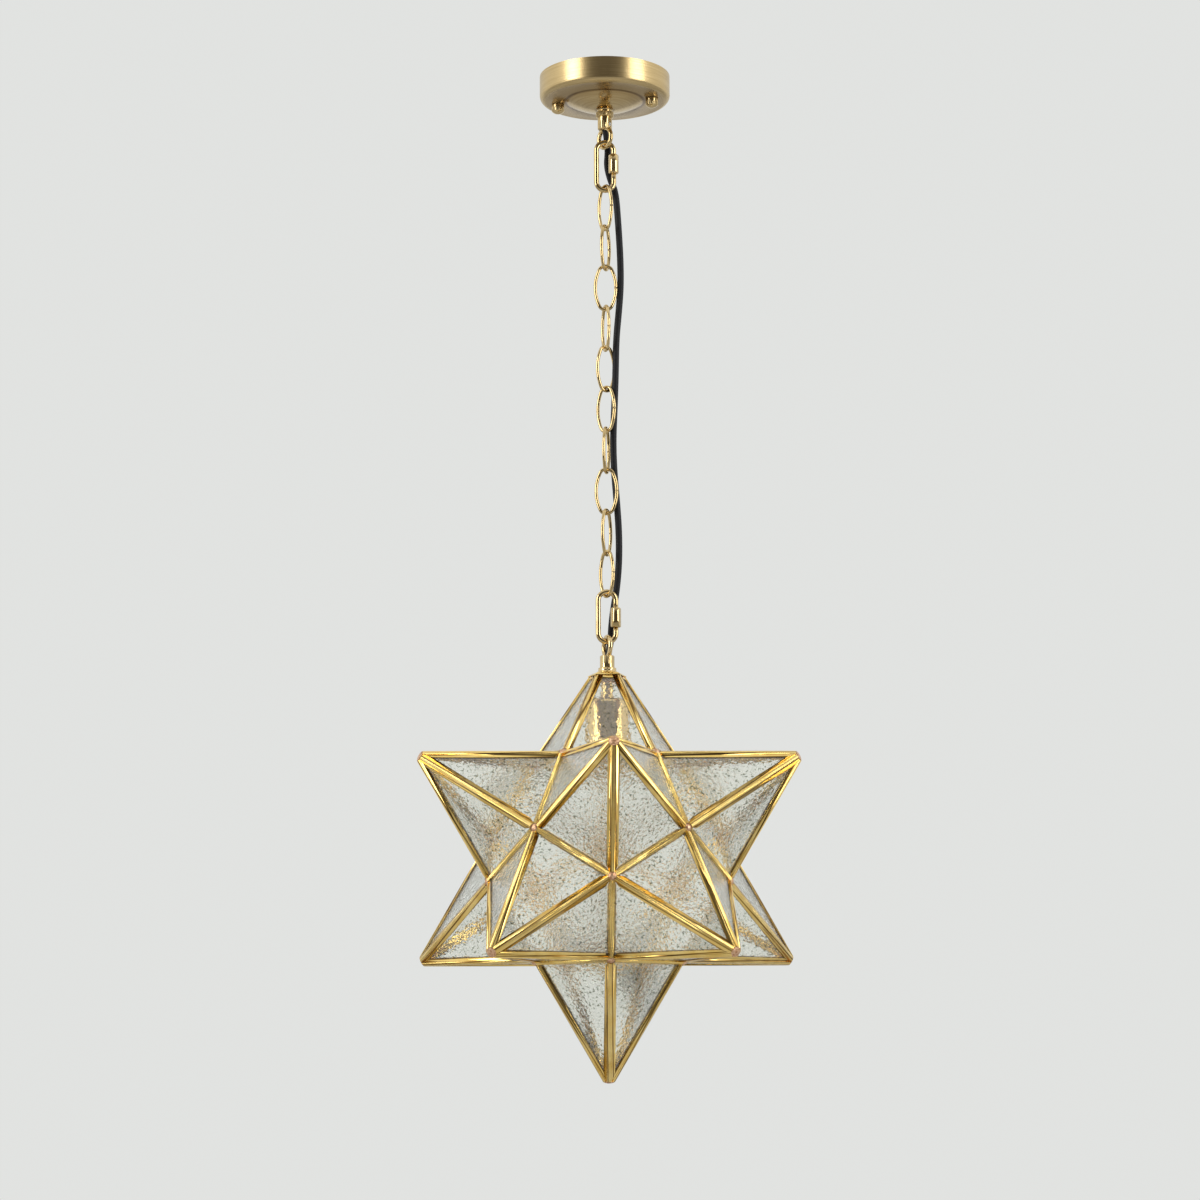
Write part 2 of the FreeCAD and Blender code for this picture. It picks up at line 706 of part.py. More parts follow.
def pane_master(apex_z, top_z):
    """Glass pane of the face over the base edge from corner 0 to corner 1."""
    w0 = master_corner(0)
    w1 = master_corner(1)
    apex = V(0, 0, apex_z)
    n = face_normal(apex, w0, w1)
    skin = n * (-PANE_PLAY)
    body = Part.Face(Part.makePolygon([w0 + skin, w1 + skin, apex + skin, w0 + skin]))
    body = body.extrude(n * -PANE_T)
    mid = (w0 + w1 + apex) * (1.0 / 3.0)
    for a, b, inset in ((w0, w1, VALLEY_SET), (w1, apex, RIDGE_SET), (apex, w0, RIDGE_SET)):
        side = n.cross(b - a)
        if side.dot(mid - a) < 0:
            side = side * -1.0
        body = keep_side(body, a + unit(side) * inset, side)
    base = (w0 + w1) * 0.5
    up = unit(apex - base)
    return keep_side(body, base + up * ((top_z - base.z) / up.z), up * -1.0)


def solder_master():
    """Joint at corner 0: a plug between the cames with a domed head."""
    n = unit(master_corner(0))
    r = SOLDER_R
    at = master_corner(0).Length
    low = at - SOLDER_DEEP
    rim = at + SOLDER_RIM
    top = at + SOLDER_TOP
    body = lathe([(0.0, low), (r, low), (r, rim), (dome_mid(r, rim - top, top), (0.0, top))])
    out = body.copy()
    rot = FreeCAD.Rotation(V(0, 0, 1), n)
    out.Placement = FreeCAD.Placement(V(0, 0, 0), rot)
    return Part.makeCompound([out]).Solids[0].copy()


def tip_solder_master():
    z = TIP_R + FIT
    low = TIP_R - TIP_DEEP
    r = TIP_HEAD_R
    return lathe([
        (0.0, low), (TIP_SOLDER_R, low), (TIP_SOLDER_R, z), (r, z), (r, z + 0.3),
        (dome_mid(r, -1.0, z + 1.3), (0.0, z + 1.3))])


def door_cone(shift):
    """Everything that leaves with the door: the cone of its parting planes, moved along its axis."""
    far = [master_corner(k) * 2.6 for k in range(5)]
    apex = V(0, 0, 0)
    faces = [Part.Face(Part.makePolygon([apex, far[k], far[(k + 1) % 5], apex])) for k in range(5)]
    faces.append(Part.Face(Part.makePolygon(far + [far[0]])))
    cone = Part.Solid(Part.Shell(faces))
    if cone.Volume < 0:
        cone.reverse()
    cone.translate(V(0, 0, shift / 0.52573))
    return cone


# ---------------------------------------------------------------- door hardware
def edge_frame():
    """Middle of the master's edge 0-1, its direction, outward v and u towards the master point."""
    w0 = master_corner(0)
    w1 = master_corner(1)
    mid = (w0 + w1) * 0.5
    e = unit(w1 - w0)
    v = unit(mid)
    u = e.cross(v)
    if u.dot(V(0, 0, 1)) < 0:
        u = u * -1.0
    return mid, e, u, v


def along_edge(r, s0, s1, v_at):
    mid, e, u, v = edge_frame()
    return Part.makeCylinder(r, s1 - s0, mid + e * s0 + v * v_at, e)


def knuckle(s0, s1, side, bore):
    barrel = along_edge(KNUCKLE_R, s0, s1, HINGE_V)
    mid, e, u, v = edge_frame()
    p = mid + e * s0
    near = u * (side * 0.35)
    wide = u * (side * KNUCKLE_R)
    pts = [p + near + v * (0.35 / PHI + 0.1), p + wide + v * (KNUCKLE_R / PHI + 0.1),
           p + wide + v * HINGE_V, p + near + v * HINGE_V]
    web = Part.Face(Part.makePolygon(pts + [pts[0]])).extrude(e * (s1 - s0))
    return fuse([barrel, web]).cut(along_edge(bore, s0 - 1.0, s1 + 1.0, HINGE_V))


def hinge_clear(shape):
    half = 1.5 * KNUCKLE_L + 0.6
    return shape.cut(along_edge(KNUCKLE_R + 0.25, -half, half, HINGE_V))


def split_valley(master, with_hinge, with_post):
    """The two halves of a valley came at the door: (fixed half, door half)."""
    mid, e, u, v = edge_frame()
    inner = keep_side(master, mid + u * PARTING, u)
    outer = keep_side(master, mid - u * PARTING, u * -1.0)
    if with_hinge:
        k = KNUCKLE_L / 2.0
        inner = fuse([hinge_clear(inner), knuckle(-k, k, 1.0, PIN_R + RUN)])
        cleared = hinge_clear(outer)
        left = knuckle(-3.0 * k - 0.3, -k - 0.3, -1.0, PIN_R)
        right = knuckle(k + 0.3, 3.0 * k + 0.3, -1.0, PIN_R)
        outer = fuse([cleared, left, right])
    if with_post:
        post = Part.makeCylinder(POST_R, 3.35, mid - u * POST_U + v * 1.6, v)
        head = Part.makeCylinder(1.4, 0.5, mid - u * POST_U + v * 4.85, v)
        outer = fuse([outer, post, head])
    return one_solid(outer), one_solid(inner)


def hinge_pin():
    k = KNUCKLE_L / 2.0
    return along_edge(PIN_R, -3.0 * k - 0.3, 3.0 * k + 0.3, HINGE_V)


def turn_button():
    """Drawn turned along the rim; a quarter turn lays its bar over the door's edge."""
    mid, e, u, v = edge_frame()
    o = mid - u * POST_U + v * 3.4
    d = u.cross(v)
    body = Part.makeCylinder(1.4, 1.2, o, v)
    pts = [o - u * 1.2, o - u * 1.2 + d * 4.3, o - u * 0.6 + d * 5.3,
           o + u * 0.6 + d * 5.3, o + u * 1.2 + d * 4.3, o + u * 1.2]
    bar = Part.Face(Part.makePolygon(pts + [pts[0]])).extrude(v * 1.2)
    return fuse([body, bar]).cut(Part.makeCylinder(POST_R + RUN, 3.0, o - v, v))


# ---------------------------------------------------------------- cap of the star
def pentagon(r, z):
    pts = [azimuth(36.0 + 72.0 * k) * r + V(0, 0, z) for k in range(6)]
    return Part.makePolygon(pts)


def cap_plate():
    steps = ((18.9, CAP_Z), (18.9, CAP_Z + 0.9), (16.2, CAP_Z + 2.5), (10.2, CAP_Z + CAP_RISE))
    body = Part.makeLoft([pentagon(r, z) for r, z in steps], True, True)
    hollow = Part.makeLoft([pentagon(r, z) for r, z in ((17.6, CAP_Z - 1.0), (17.6, CAP_Z),
                                                       (15.2, CAP_Z + 1.4))], True, True)
    boss = disc(9.4, CAP_Z - 0.2, CAP_Z + CAP_RISE)
    body = body.cut(hollow)
    body = fuse([body, boss])
    return body.cut(disc(NIPPLE_R + FIT, CAP_Z - 9.0, CAP_Z + 9.0))


def top_rail_master():
    """Horizontal came over the upper edge of a top pane."""
    w0 = master_corner(0)
    w1 = master_corner(1)
    apex = V(0, 0, TOP_APEX)
    n = face_normal(apex, w0, w1)
    up = unit(apex - (w0 + w1) * 0.5)
    e = unit(w1 - w0)
    base = (w0 + w1) * 0.5
    t = (CAP_Z - 0.9 - base.z) / up.z
    o = base + up * t
    back = -(PANE_T + 2.0 * PANE_PLAY)
    outline = [(-3.0, 0.0), (-3.0, 0.8), (-2.6, 1.1), (-0.3, 1.1), (0.0, 0.8), (0.0, back - 0.8),
               (-3.0, back - 0.8), (-3.0, back), (-0.8, back), (-0.8, 0.0)]
    pts = [o + up * a + n * b - e * 20.0 for a, b in outline]
    body = Part.Face(Part.makePolygon(pts + [pts[0]])).extrude(e * 40.0)
    for corner in (w0, w1):
        edge = unit(apex - corner)
        side = n.cross(edge)
        if side.dot(o - corner) < 0:
            side = side * -1.0
        body = keep_side(body, corner + unit(side) * (RIDGE_FLANGE + 0.1), side)
    return body


# ---------------------------------------------------------------- star assembly
def star_groups():
    ridge = ridge_master(STAR_R, TIP_R)
    valley = valley_master(STAR_R)
    pane = pane_master(STAR_R, PANE_TOP)
    solder = solder_master()
    tip = tip_solder_master()
    groups = {}
    done_edges = set()
    done_corners = set()

    def add(name, shape):
        groups.setdefault(name, []).append(in_place(shape))

    def key(v):
        return (round(v.x, 2), round(v.y, 2), round(v.z, 2))

    rows = points_of_star()
    rows.sort(key=lambda row: row[0] != "door")
    up = V(0, 0, 1)
    top_corner = azimuth(36.0)
    for k in range(5):
        turn = 72.0 * k
        add("top_ridge_cames", placed(ridge_master(TOP_APEX, CAP_Z - 0.1), up, top_corner, turn))
        add("top_ring_cames", placed(valley_master(TOP_APEX), up, top_corner, turn))
        add("top_panes", placed(pane_master(TOP_APEX, CAP_Z - 1.9), up, top_corner, turn))
        add("top_rails", placed(top_rail_master(), up, top_corner, turn))
        done_edges.add(key(placed(Part.Vertex(edge_frame()[0]), up, top_corner, turn).Point))
        corner = placed(Part.Vertex(master_corner(0)), up, top_corner, turn).Point
        done_corners.add(key(corner))
        add("solder_joints", placed(solder, up, top_corner, turn))
    for name, az, axis, corner in rows:
        for k in range(5):
            turn = 72.0 * k
            where = (axis, corner, turn)
            add(name + "_ridge_cames", placed(ridge, *where))
            add(name + "_panes", placed(pane, *where))
            mid = placed(Part.Vertex(edge_frame()[0]), *where).Point
            if key(mid) not in done_edges:
                done_edges.add(key(mid))
                if name == "door":
                    add_door_edge(add, valley, mid, where)
                else:
                    add("valley_cames", placed(valley, *where))
            spot = placed(Part.Vertex(master_corner(0)), *where).Point
            if key(spot) not in done_corners:
                done_corners.add(key(spot))
                if name == "door":
                    whole = placed(solder, *where)
                    inside = placed(door_cone(PARTING), *where)
                    outside = placed(door_cone(-PARTING), *where)
                    add("door_solder", one_solid(whole.common(inside)))
                    add("opening_solder", one_solid(whole.cut(outside)))
                else:
                    add("solder_joints", placed(solder, *where))
        add("door_solder" if name == "door" else "tip_solder", placed(tip, axis, corner))
    return groups


def add_door_edge(add, valley, mid, where):
    """One of the five split valley cames round the door."""
    hinge = abs(mid.z) < 0.03 * STAR_R and mid.x > 0
    latch = mid.z < -0.42 * STAR_R
    fixed, moving = split_valley(valley, hinge, latch)
    add("opening_frame", placed(fixed, *where))
    add("door_rim", placed(moving, *where))
    if hinge:
        add("hinge_pin", placed(hinge_pin(), *where))
        m, e, u, v = edge_frame()
        a = placed(Part.Vertex(m + v * HINGE_V), *where)
        b = placed(Part.Vertex(m + v * HINGE_V + e), *where)
        report_axis("door hinge", in_place(a).Point, in_place(b).Point)
    if latch:
        add("turn_button", placed(turn_button(), *where))
        m, e, u, v = edge_frame()
        a = placed(Part.Vertex(m - u * POST_U + v * 4.0), *where)
        b = placed(Part.Vertex(m - u * POST_U + v * 5.0), *where)
        report_axis("turn button", in_place(a).Point, in_place(b).Point)


def report_axis(name, a, b):
    d = b - a
    print("%s: at %.4f %.4f %.4f axis %.5f %.5f %.5f" % (name, a.x, a.y, a.z, d.x, d.y, d.z))


# ---------------------------------------------------------------- export
def all_nodes():
    nodes = {}
    nodes["mounting_bracket"] = mounting_bracket()
    nodes["bracket_studs"] = bracket_studs()
    nodes["stud_nuts"] = stud_nuts()
    nodes["earth_screw"] = earth_screw()
    nodes["canopy_pan"] = canopy_pan()
    nodes["cap_nut_left"] = cap_nut(-1.0)
    nodes["cap_nut_right"] = cap_nut(1.0)
    low = -CANOPY_SIDE - CANOPY_DOME
    nodes["canopy_nipple"] = canopy_nipple()
    nodes["canopy_washer"] = nipple_washer(low + CANOPY_WALL + 1.2, 1.2, 7.6)
    nodes["canopy_lock_nut"] = lock_nut(low + CANOPY_WALL + 4.4, 3.2)
    nodes["canopy_collar"] = canopy_collar()
    nodes["upper_hanger"] = upper_hanger()
    nodes["grub_screw"] = grub_screw()
    nodes["cord_tail_upper"] = disc(CORD_R, -44.4, -18.0)
    nodes["quick_link_top"] = quick_link(C0, True)
    nodes["sleeve_top"] = sleeve(C0 - 18.5)
    for k in range(len(LINK_YAWS)):
        nodes["chain_link_%02d" % (k + 1)] = chain_link(k)
    nodes["quick_link_bottom"] = quick_link(C11, False)
    nodes["sleeve_bottom"] = sleeve(C11 - 21.6)
    nodes["supply_cord"] = supply_cord()
    nodes["lower_hanger"] = lower_hanger()
    nodes["lower_collar"] = lower_collar()
    nodes["star_nipple"] = tube(NIPPLE_R, NIPPLE_BORE, CUP_TOP - 5.5, NIPPLE_TOP)
    nodes["star_lock_nuts"] = Part.makeCompound([
        lock_nut(STAR_Z + CAP_Z - 0.2, 3.2), lock_nut(CUP_TOP - 0.8, 3.2)])
    nodes["cord_tail_lower"] = disc(CORD_R, CUP_TOP - 8.0, NIPPLE_TOP)
    nodes["socket_neck"] = socket_neck()
    nodes["socket_cup"] = socket_cup()
    nodes["socket_insulator"] = socket_insulator()
    nodes["screw_shell"] = screw_shell()
    nodes["centre_contact"] = centre_contact()
    nodes["cap_plate"] = in_place(cap_plate())
    for name, shapes in star_groups().items():
        nodes[name] = Part.makeCompound(shapes) if len(shapes) > 1 else shapes[0]
    return nodes


def main():
    os.makedirs("parts", exist_ok=True)
    nodes = all_nodes()
    faces = 0
    for name, shape in nodes.items():
        if not shape.isValid() or any(s.Volume <= 0 for s in shape.Solids):
            print("check", name, shape.isValid(), [round(s.Volume, 3) for s in shape.Solids][:4])
        faces += len(shape.Faces)
        shape.exportStep("parts/%s.step" % name)
        print("%-20s %3d solids  volume %10.1f" % (name, len(shape.Solids), shape.Volume))
    print(len(nodes), "nodes", faces, "faces")


main()
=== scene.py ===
# %% [markdown]
# # A brass and glass star lantern
# The lamp hangs on a chain from a round ceiling canopy. The imported CAD model is the frame: it
# gives every piece its place, and this lesson dresses it. The frame is loaded first.

# %% Load the frame
import json
import math
import bpy
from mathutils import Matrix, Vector


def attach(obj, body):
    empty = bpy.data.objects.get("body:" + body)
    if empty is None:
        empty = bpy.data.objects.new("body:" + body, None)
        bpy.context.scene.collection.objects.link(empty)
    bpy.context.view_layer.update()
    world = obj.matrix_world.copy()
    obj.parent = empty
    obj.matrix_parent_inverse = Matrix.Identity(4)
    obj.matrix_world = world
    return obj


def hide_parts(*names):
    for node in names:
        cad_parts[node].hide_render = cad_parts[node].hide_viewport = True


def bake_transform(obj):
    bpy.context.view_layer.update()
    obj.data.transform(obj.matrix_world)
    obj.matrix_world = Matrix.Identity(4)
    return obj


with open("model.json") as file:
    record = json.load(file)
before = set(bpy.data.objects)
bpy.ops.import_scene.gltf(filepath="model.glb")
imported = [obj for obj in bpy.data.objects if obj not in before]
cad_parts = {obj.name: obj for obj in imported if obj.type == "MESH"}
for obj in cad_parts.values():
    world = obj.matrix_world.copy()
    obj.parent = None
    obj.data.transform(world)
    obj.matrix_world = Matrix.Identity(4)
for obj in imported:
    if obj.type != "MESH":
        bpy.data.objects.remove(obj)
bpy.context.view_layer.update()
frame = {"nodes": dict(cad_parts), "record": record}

bodies = frame["record"]["behaviour"]["bodies"]
body_of = {node: body for body, nodes in bodies.items() for node in nodes}
slot_of = {row["node"]: row["material_slot"] for row in frame["record"]["subparts"]}

# %% [markdown]
# ## Camera
# The lamp is seen from under three metres away and from a little below the star, with the
# camera tipped up by nine degrees. A wide lens close by would make the canopy small and the
# star large, so a long lens from further off is used: it keeps both at nearly the same scale.
# A roll of a fifth of a degree makes the lamp's axis lean as it does in the photograph.

# %% Camera
SENSOR_WIDTH = 36.0
LENS = 90.765
CAMERA_PLACE = (-0.00651, -2.7993, -0.9524)
CAMERA_TURN = (98.9932, 0.2291, 0.0363)     # degrees about X, Y and Z

camera_data = bpy.data.cameras.new("camera")
camera_data.sensor_width = SENSOR_WIDTH
camera_data.lens = LENS
camera = bpy.data.objects.new("camera", camera_data)
bpy.context.scene.collection.objects.link(camera)
camera.location = CAMERA_PLACE
camera.rotation_euler = [math.radians(a) for a in CAMERA_TURN]
bpy.context.scene.camera = camera
print("camera at", tuple(camera.location))

# %% [markdown]
# ## Supply cord
# The cord is a soft black round cable that leaves the upper loop, wanders down beside and
# through the chain, and goes into the lower loop. Its route is one smooth NURBS spline with a
# control point for each change of direction, and the spline is read once as a line of points in metres.

# %% Cord route
CORD_RADIUS = 0.00315
CORD_ROUTE_MM = [
    (0.0, 0.0, -44.4), (0.5, 1.0, -50.5), (1.8, 4.7, -59.0), (3.0, 8.4, -72.0),
    (1.6, 10.2, -85.2), (5.4, 10.7, -100.1), (10.2, 9.0, -112.0), (12.3, 4.6, -142.5),
    (14.2, 3.6, -177.2), (14.5, 3.3, -204.8), (12.7, 2.8, -229.0), (9.8, 0.9, -259.0),
    (9.2, -0.5, -290.0), (8.1, 0.3, -321.0), (6.4, 1.7, -355.0), (7.2, 4.2, -384.0),
    (9.5, 4.8, -412.0), (11.6, 3.4, -443.0), (11.6, 3.0, -473.0), (9.2, 7.4, -499.0),
    (5.8, 11.5, -518.0), (3.9, 9.4, -535.0), (3.5, 7.5, -547.0), (1.6, 3.6, -557.5),
    (0.4, 0.9, -564.5), (0.0, 0.0, -569.5)]


# %% Read the spline as a line
def length_of(line):
    """The length along a line of points."""
    return sum((b - a).length for a, b in zip(line, line[1:]))


def nurbs_line(points_mm, samples=10):
    """The smooth spline through a route, as a list of points in metres."""
    data = bpy.data.curves.new("route", "CURVE")
    data.dimensions = "3D"
    spline = data.splines.new("NURBS")
    spline.points.add(len(points_mm) - 1)
    for point, place in zip(spline.points, points_mm):
        point.co = (*[c / 1000.0 for c in place], 1.0)
    spline.order_u = 3
    spline.use_endpoint_u = True
    data.resolution_u = samples
    holder = bpy.data.objects.new("route", data)
    mesh = bpy.data.meshes.new_from_object(holder)
    line = [v.co.copy() for v in mesh.vertices]
    bpy.data.objects.remove(holder)
    bpy.data.meshes.remove(mesh)
    bpy.data.curves.remove(data)
    return line


cord_line = nurbs_line(CORD_ROUTE_MM)
print(len(cord_line), "points along the cord,", round(length_of(cord_line), 3), "m")

# %% [markdown]
# A length of cord is a bevelled curve that is made a mesh. Its doubled points are merged and
# its faces turned outwards in edit mode, and everything is deselected first, because an
# operator acts on all that is selected.


# %% A tube along a line
def clear_selection():
    """Deselect everything and leave no object in edit mode."""
    if bpy.context.object and bpy.context.object.mode != "OBJECT":
        bpy.ops.object.mode_set(mode="OBJECT")
    bpy.ops.object.select_all(action="DESELECT")


def select_only(piece):
    """Make one piece the selected and active one."""
    clear_selection()
    piece.select_set(True)
    bpy.context.view_layer.objects.active = piece


def tube_along(name, line, radius):
    """A round cord with closed ends that follows a line of points, made a mesh."""
    data = bpy.data.curves.new(name, "CURVE")
    data.dimensions = "3D"
    data.bevel_depth = radius
    data.bevel_resolution = 6
    data.use_fill_caps = True
    spline = data.splines.new("POLY")
    spline.points.add(len(line) - 1)
    for point, place in zip(spline.points, line):
        point.co = (*place, 1.0)
    piece = bpy.data.objects.new(name, data)
    bpy.context.scene.collection.objects.link(piece)
    select_only(piece)
    bpy.ops.object.convert(target="MESH")
    piece = bpy.context.object
    bpy.ops.object.mode_set(mode="EDIT")
    bpy.ops.mesh.select_all(action="SELECT")
    bpy.ops.mesh.remove_doubles(threshold=1e-6)
    bpy.ops.mesh.normals_make_consistent(inside=False)
    bpy.ops.object.mode_set(mode="OBJECT")
    bpy.ops.object.shade_smooth_by_angle(angle=math.radians(40.0))
    return piece


# %% [markdown]
# The line is cut at the middle height of each link. Each length then starts on one body and
# ends on the next. All the cuts lie on the lamp's axis, a known height below the ceiling.

# %% Where the cord is cut
LINK_COUNT = 10
LINK_PITCH = 0.03943
FIRST_LINK_Z = -0.1101          # where the first link hangs in the upper quick link
UPPER_QUICK_LINK_Z = -0.0889    # middle of the upper quick link
LOWER_QUICK_LINK_Z = -0.5256
CORD_TOP_Z = -0.0500            # where the cord leaves the upper loop
CORD_END_Z = -0.5660            # where it goes into the lower loop

link_middles = [FIRST_LINK_Z - LINK_PITCH * (k + 0.5) for k in range(LINK_COUNT)]
cuts = [CORD_TOP_Z, UPPER_QUICK_LINK_Z, *link_middles, LOWER_QUICK_LINK_Z, CORD_END_Z]


# %% Cord lengths between the bodies
def line_between(line, z_high, z_low):
    """The part of a falling line between two heights, cut exactly there."""
    out = []
    for a, b in zip(line, line[1:]):
        for z in (z_high, z_low):
            if a.z >= z > b.z:
                out.append(a.lerp(b, (a.z - z) / (a.z - b.z)))
        if z_low < b.z < z_high:
            out.append(b.copy())
    out.sort(key=lambda p: -p.z)
    return out


cord_tubes = []
for k, (high, low) in enumerate(zip(cuts, cuts[1:])):
    line = line_between(cord_line, high, low)
    tube = tube_along("cord_%02d" % (k + 1), line, CORD_RADIUS)
    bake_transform(tube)
    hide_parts("supply_cord")
    cord_tubes.append(tube)
    print(tube.name, round(length_of(line) * 1000, 1), "mm")

# %% [markdown]
# ## Materials
# Every finish is a small node tree on the Principled shader: a noise pattern on Object
# coordinates, which stay fixed to the piece, a colour ramp that turns it into tones of the
# metal or glass, and a bump. Four helpers keep the recipes short.


# %% Material helpers
def new_material(name):
    """An empty material, its nodes and links, and its shader."""
    material = bpy.data.materials.new(name)
    material.use_nodes = True
    nodes = material.node_tree.nodes
    return material, nodes, material.node_tree.links, nodes["Principled BSDF"]


def noise_on(nodes, links, coords, scale, detail):
    """A noise texture that reads the given coordinates; scale is in lumps per metre."""
    texture = nodes.new("ShaderNodeTexNoise")
    texture.inputs["Scale"].default_value = scale
    texture.inputs["Detail"].default_value = detail
    links.new(coords, texture.inputs["Vector"])
    return texture


def ramp(nodes, links, source, stops):
    """A colour ramp with (place, colour) stops."""
    node = nodes.new("ShaderNodeValToRGB")
    while len(node.color_ramp.elements) < len(stops):
        node.color_ramp.elements.new(0.5)
    for element, (place, color) in zip(node.color_ramp.elements, stops):
        element.position = place
        element.color = (*color, 1.0)
    links.new(source, node.inputs["Fac"])
    return node


def bump(nodes, links, height, strength, distance):
    """Relief from a height, with its depth in metres."""
    node = nodes.new("ShaderNodeBump")
    node.inputs["Strength"].default_value = strength
    node.inputs["Distance"].default_value = distance
    links.new(height, node.inputs["Height"])
    return node


# %% Two more helpers
def times(nodes, links, color, mask):
    """A colour darkened by a mask."""
    node = nodes.new("ShaderNodeMixRGB")
    node.blend_type = "MULTIPLY"
    node.inputs["Fac"].default_value = 1.0
    links.new(color, node.inputs["Color1"])
    links.new(mask, node.inputs["Color2"])
    return node.outputs["Color"]


def grey(level):
    """One level for all three channels, for a ramp that gives roughness."""
    return (level, level, level)


# %% [markdown]
# ### Polished brass
# The cage, loops and chain are polished brass under lacquer. Real lacquered brass is never one
# colour: its tone drifts slowly, and wiping leaves parts duller. A slow noise gives the drift,
# a finer one the roughness, and a faint ripple breaks up straight reflections. A ridge came is
# drawn with a raised bead along its middle, and painted shade darkens the groove beside it and
# the came's edges, so its brass also reads "across", each point's distance from its middle line.

# %% Polished brass
WHITE = (1.0, 1.0, 1.0)
# painted shade: dark stops beside the bead (0.34 to 0.42) and at the came's edges (from 0.90)
CAME_SHADE_STOPS = [(0.0, WHITE), (0.30, WHITE), (0.34, (0.22, 0.17, 0.12)), (0.42, (0.25, 0.19, 0.13)),
                (0.47, WHITE), (0.80, WHITE), (0.90, (0.30, 0.24, 0.17))]


def polished_brass(name, low, high, rough_low, rough_high, shade_grooves=False):
    """Lacquered brass between two tones; with shade_grooves, painted shade darkens a came's groove and
    edges.
    """
    material, nodes, links, shader = new_material(name)
    coords = nodes.new("ShaderNodeTexCoord").outputs["Object"]
    drift = noise_on(nodes, links, coords, 60.0, 4.0)
    color = ramp(nodes, links, drift.outputs["Fac"], [(0.35, low), (0.65, high)]).outputs["Color"]
    if shade_grooves:
        across = nodes.new("ShaderNodeAttribute")
        across.attribute_name = "across"
        # painted shade: the came's colour is darkened in the groove beside its bead and at its edges
        came_shade = ramp(nodes, links, across.outputs["Fac"], CAME_SHADE_STOPS)
        color = times(nodes, links, color, came_shade.outputs["Color"])
    links.new(color, shader.inputs["Base Color"])
    smear = noise_on(nodes, links, coords, 220.0, 2.0)
    rough = ramp(nodes, links, smear.outputs["Fac"], [(0.3, grey(rough_low)), (0.7, grey(rough_high))])
    links.new(rough.outputs["Color"], shader.inputs["Roughness"])
    ripple = bump(nodes, links, noise_on(nodes, links, coords, 90.0, 1.0).outputs["Fac"], 0.05, 0.001)
    links.new(ripple.outputs["Normal"], shader.inputs["Normal"])
    shader.inputs["Metallic"].default_value = 1.0
    return material


CAGE_TONES = ((0.84, 0.57, 0.16), (0.96, 0.72, 0.27))
cage_brass = polished_brass("cage_brass", *CAGE_TONES, 0.06, 0.13)
came_brass = polished_brass("came_brass", *CAGE_TONES, 0.06, 0.13, shade_grooves=True)
chain_brass = polished_brass("chain_brass", (0.52, 0.38, 0.17), (0.72, 0.55, 0.28), 0.05, 0.11)
cup_brass = polished_brass("cup_brass", (0.72, 0.50, 0.18), (0.84, 0.60, 0.26), 0.16, 0.26)
print("4 polished brasses")

# %% [markdown]
# ### Satin brass of the canopy
# The canopy is spun on a lathe, so its brushing runs round it. The noise is squeezed along Z,
# which draws fine rings on the wall. Painted shade darkens the neck, the dome towards its edge,
# the crease where the dome meets the flat ring, and the ring itself. The shade, like the roughness,
# comes from the distance to the lamp's axis, which a Mapping node flattens to X and Y and stretches to
# tenths.

# %% Satin brass
SATIN_TONES = [(0.3, (0.48, 0.35, 0.16)), (0.7, (0.64, 0.49, 0.25))]
# radius from the axis in tenths of a metre: neck, dome, crease, flat ring, wall
# painted shade: darker at the neck and towards the dome's edge, deepest in the crease, darker on the flat
# ring
CANOPY_SHADE_STOPS = [(0.08, (0.62, 0.58, 0.52)), (0.11, WHITE), (0.30, (0.92, 0.90, 0.88)),
              (0.355, (0.80, 0.76, 0.72)), (0.372, (0.30, 0.24, 0.18)), (0.384, (0.34, 0.28, 0.22)),
              (0.40, (0.70, 0.66, 0.62)), (0.56, (0.76, 0.73, 0.70)), (0.585, WHITE)]
POLISH_STOPS = [(0.36, grey(0.17)), (0.39, grey(0.26)), (0.56, grey(0.26)), (0.60, grey(0.30))]


def scaled(nodes, links, coords, scale):
    """Coordinates stretched by a Mapping node."""
    node = nodes.new("ShaderNodeMapping")
    node.inputs["Scale"].default_value = scale
    links.new(coords, node.inputs["Vector"])
    return node.outputs["Vector"]


def satin_brass():
    """Brushed brass with painted shade that follows its distance from the lamp's axis."""
    material, nodes, links, shader = new_material("canopy_brass")
    coords = nodes.new("ShaderNodeTexCoord").outputs["Object"]
    rings = noise_on(nodes, links, scaled(nodes, links, coords, (1.0, 1.0, 60.0)), 30.0, 6.0)
    tone = ramp(nodes, links, rings.outputs["Fac"], SATIN_TONES)
    radius = nodes.new("ShaderNodeVectorMath")
    radius.operation = "LENGTH"
    links.new(scaled(nodes, links, coords, (10.0, 10.0, 0.0)), radius.inputs[0])
    # painted shade, multiplied into the brushed tone
    canopy_shade = ramp(nodes, links, radius.outputs["Value"], CANOPY_SHADE_STOPS)
    color = times(nodes, links, tone.outputs["Color"], canopy_shade.outputs["Color"])
    links.new(color, shader.inputs["Base Color"])
    polish = ramp(nodes, links, radius.outputs["Value"], POLISH_STOPS)
    links.new(polish.outputs["Color"], shader.inputs["Roughness"])
    brushed = bump(nodes, links, rings.outputs["Fac"], 0.12, 0.0005)
    links.new(brushed.outputs["Normal"], shader.inputs["Normal"])
    shader.inputs["Metallic"].default_value = 1.0
    return material


canopy_brass = satin_brass()
print(canopy_brass.name)

